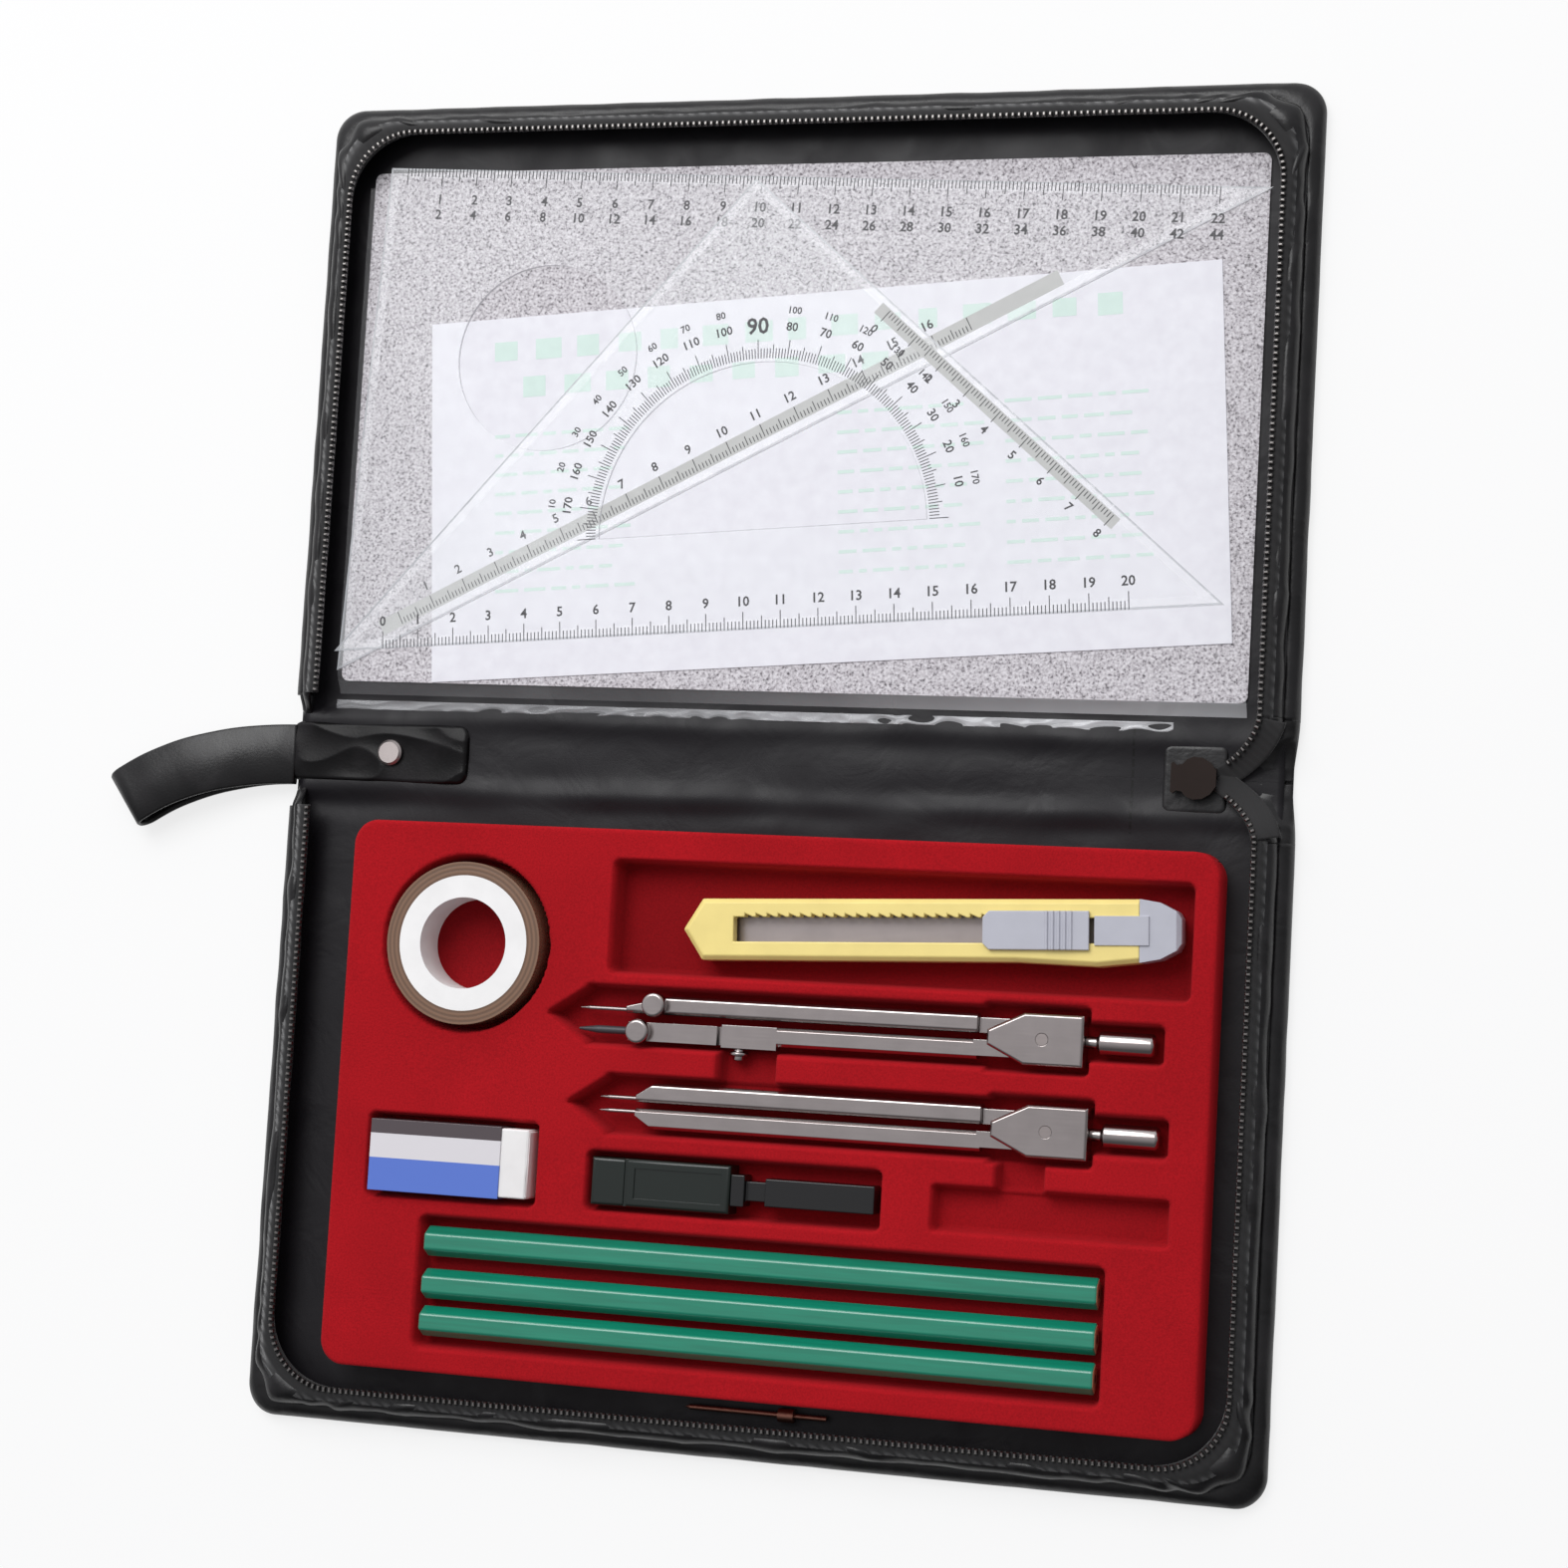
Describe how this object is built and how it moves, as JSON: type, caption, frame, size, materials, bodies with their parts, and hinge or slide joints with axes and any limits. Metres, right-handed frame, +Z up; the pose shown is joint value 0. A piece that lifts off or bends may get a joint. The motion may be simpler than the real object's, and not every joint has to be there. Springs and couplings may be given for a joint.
{
  "type": "drafting instrument set in a zip case",
  "caption": "Soft zip case open like a book: a flocked tray of drawing instruments in one half, a clear wallet with set squares in the other, both folding on a soft spine.",
  "frame": {"origin": "centre of the tray half's underside, on the table", "axes": "+X along the spine away from the hand strap, +Y from the tray half to the lid half, +Z up"},
  "size_m": [0.318, 0.352, 0.0161],
  "materials": {
    "coated_fabric": "black polyurethane coated fabric, glossy and wrinkled",
    "greyboard": "plain greyboard",
    "lining": "black lining sheet",
    "zip_tape": "woven black zip tape",
    "zip_teeth": "glossy black moulded teeth",
    "flock": "red flocked tray",
    "nickel": "bright nickel plate",
    "steel": "plain steel",
    "bronze": "dark bronze plate",
    "copper": "dull copper-brown plate",
    "graphite": "graphite lead",
    "core_white": "white moulded core",
    "tape": "brown translucent adhesive tape",
    "cutter_yellow": "pale yellow moulded plastic",
    "cutter_grey": "pale grey moulded plastic",
    "eraser_white": "white vinyl eraser",
    "sleeve_card": "printed card sleeve with plain bands",
    "box_green": "dark green moulded plastic",
    "box_black": "black moulded plastic",
    "pencil_green": "green lacquered wood round a graphite lead",
    "film": "clear soft film",
    "card": "grey speckled card",
    "paper": "white folded paper",
    "acrylic": "clear moulded acrylic with grey scales"
  },
  "bodies": {
    "tray_half": {"tray_cover": "coated_fabric", "tray_board": "greyboard", "tray_lining": "lining", "tray_gusset": "coated_fabric", "tray_zip_tape": "zip_tape", "tray_zip_teeth": "zip_teeth", "flocked_tray": "flock"},
    "spine": {"spine_cover": "coated_fabric", "spine_board": "greyboard", "spine_lining": "lining", "strap_patch": "coated_fabric", "strap_rivet": "nickel", "zip_end_tab": "zip_tape", "zip_slider": "bronze"},
    "strap": {"hand_strap": "coated_fabric"},
    "pull": {"zip_pull": "bronze"},
    "lid_half": {"lid_cover": "coated_fabric", "lid_board": "greyboard", "lid_lining": "lining", "lid_gusset": "coated_fabric", "lid_zip_tape": "zip_tape", "lid_zip_teeth": "zip_teeth"},
    "wallet": {"wallet_film": "film", "speckled_card": "card", "folded_paper": "paper"},
    "long_square": {"set_square_long": "acrylic"},
    "equal_square": {"set_square_equal": "acrylic"},
    "tape_roll": {"tape_core": "core_white", "tape_winding": "tape"},
    "cutter": {"cutter_body": "cutter_yellow", "cutter_channel": "steel", "cutter_cap": "cutter_grey"},
    "blade_carrier": {"cutter_blade": "steel", "cutter_slider": "cutter_grey"},
    "compass": {"compass_head": "nickel", "compass_pivot": "steel", "compass_handle": "nickel"},
    "compass_needle_leg": {"needle_leg": "nickel", "needle_knob": "nickel", "compass_needle": "steel"},
    "compass_lead_leg": {"lead_leg": "nickel", "knee_screw": "nickel"},
    "compass_lead_arm": {"lead_arm": "nickel", "lead_knob": "nickel", "compass_lead": "graphite"},
    "divider": {"divider_head": "nickel", "divider_pivot": "steel", "divider_handle": "nickel"},
    "divider_back": {"divider_leg_back": "nickel", "divider_point_back": "steel"},
    "divider_front": {"divider_leg_front": "nickel", "divider_point_front": "steel"},
    "eraser": {"eraser_block": "eraser_white", "eraser_sleeve": "sleeve_card"},
    "lead_box": {"lead_box_body": "box_green"},
    "lead_cap": {"lead_box_cap": "box_black"},
    "first_pencil": {"pencil_a": "pencil_green"},
    "second_pencil": {"pencil_b": "pencil_green"},
    "third_pencil": {"pencil_c": "pencil_green"},
    "needle_bar": {"spare_needle_bar": "copper"}
  },
  "joints": [
    {"name": "spine_fold", "type": "hinge", "parent": "tray_half", "child": "spine", "pos_m": [0, 0.0825, 0.0008], "axis": [-1, 0, 0], "range_deg": [-90, 0]},
    {"name": "lid_fold", "type": "hinge", "parent": "spine", "child": "lid_half", "pos_m": [0, 0.1045, 0.0008], "axis": [-1, 0, 0], "range_deg": [-90, 0]},
    {"name": "wallet_flip", "type": "hinge", "parent": "lid_half", "child": "wallet", "pos_m": [0, 0.1085, 0.0026], "axis": [1, 0, 0], "range_deg": [0, 90]},
    {"name": "long_square_draw", "type": "slide", "parent": "wallet", "child": "long_square", "axis": [0, 1, 0], "range_m": [0, 0.05]},
    {"name": "equal_square_draw", "type": "slide", "parent": "wallet", "child": "equal_square", "axis": [0, 1, 0], "range_m": [0, 0.05]},
    {"name": "strap_swing", "type": "hinge", "parent": "spine", "child": "strap", "pos_m": [-0.1347, 0.0935, 0.00515], "axis": [0, 1, 0], "range_deg": [0, 90]},
    {"name": "pull_swing", "type": "hinge", "parent": "spine", "child": "pull", "pos_m": [0.1146, 0.0935, 0.0057], "axis": [0, 1, 0], "range_deg": [0, 120]},
    {"name": "tape_lift", "type": "slide", "parent": "tray_half", "child": "tape_roll", "axis": [0, 0, 1], "range_m": [0, 0.04]},
    {"name": "cutter_lift", "type": "slide", "parent": "tray_half", "child": "cutter", "axis": [0, 0, 1], "range_m": [0, 0.04]},
    {"name": "blade_slide", "type": "slide", "parent": "cutter", "child": "blade_carrier", "axis": [-0.9991, -0.0419, 0], "range_m": [0, 0.016]},
    {"name": "compass_lift", "type": "slide", "parent": "tray_half", "child": "compass", "axis": [0, 0, 1], "range_m": [0, 0.12]},
    {"name": "needle_leg_open", "type": "hinge", "parent": "compass", "child": "compass_needle_leg", "pos_m": [0.076, 0.0274, 0.0104], "axis": [0, 0, -1], "range_deg": [0, 30]},
    {"name": "lead_leg_open", "type": "hinge", "parent": "compass", "child": "compass_lead_leg", "pos_m": [0.076, 0.0274, 0.0104], "axis": [0, 0, 1], "range_deg": [0, 30]},
    {"name": "knee_bend", "type": "hinge", "parent": "compass_lead_leg", "child": "compass_lead_arm", "pos_m": [0.001, 0.0237, 0.0104], "axis": [0, 0, -1], "range_deg": [0, 30]},
    {"name": "divider_lift", "type": "slide", "parent": "tray_half", "child": "divider", "axis": [0, 0, 1], "range_m": [0, 0.09]},
    {"name": "back_leg_open", "type": "hinge", "parent": "divider", "child": "divider_back", "pos_m": [0.078, 0.005, 0.0104], "axis": [0, 0, -1], "range_deg": [0, 22.5]},
    {"name": "front_leg_open", "type": "hinge", "parent": "divider", "child": "divider_front", "pos_m": [0.078, 0.005, 0.0104], "axis": [0, 0, 1], "range_deg": [0, 22.5]},
    {"name": "eraser_lift", "type": "slide", "parent": "tray_half", "child": "eraser", "axis": [0, 0, 1], "range_m": [0, 0.03]},
    {"name": "lead_box_lift", "type": "slide", "parent": "tray_half", "child": "lead_box", "axis": [0, 0, 1], "range_m": [0, 0.08]},
    {"name": "lead_cap_draw", "type": "slide", "parent": "lead_box", "child": "lead_cap", "axis": [1, 0, 0], "range_m": [0, 0.012]},
    {"name": "first_pencil_lift", "type": "slide", "parent": "tray_half", "child": "first_pencil", "axis": [0, 0, 1], "range_m": [0, 0.03]},
    {"name": "second_pencil_lift", "type": "slide", "parent": "tray_half", "child": "second_pencil", "axis": [0, 0, 1], "range_m": [0, 0.03]},
    {"name": "third_pencil_lift", "type": "slide", "parent": "tray_half", "child": "third_pencil", "axis": [0, 0, 1], "range_m": [0, 0.03]},
    {"name": "needle_bar_lift", "type": "slide", "parent": "tray_half", "child": "needle_bar", "axis": [0, 0, 1], "range_m": [0, 0.03]}
  ],
  "couplings": [
    {"joint": "long_square_draw", "follows": "wallet_flip", "m_per_rad": 0.03183},
    {"joint": "equal_square_draw", "follows": "wallet_flip", "m_per_rad": 0.03183},
    {"joint": "needle_leg_open", "follows": "compass_lift", "rad_per_m": 4.3633},
    {"joint": "lead_leg_open", "follows": "compass_lift", "rad_per_m": 4.3633},
    {"joint": "knee_bend", "follows": "compass_lift", "rad_per_m": 4.3633},
    {"joint": "back_leg_open", "follows": "divider_lift", "rad_per_m": 4.3633},
    {"joint": "front_leg_open", "follows": "divider_lift", "rad_per_m": 4.3633},
    {"joint": "lead_cap_draw", "follows": "lead_box_lift", "ratio": 0.15}
  ]
}
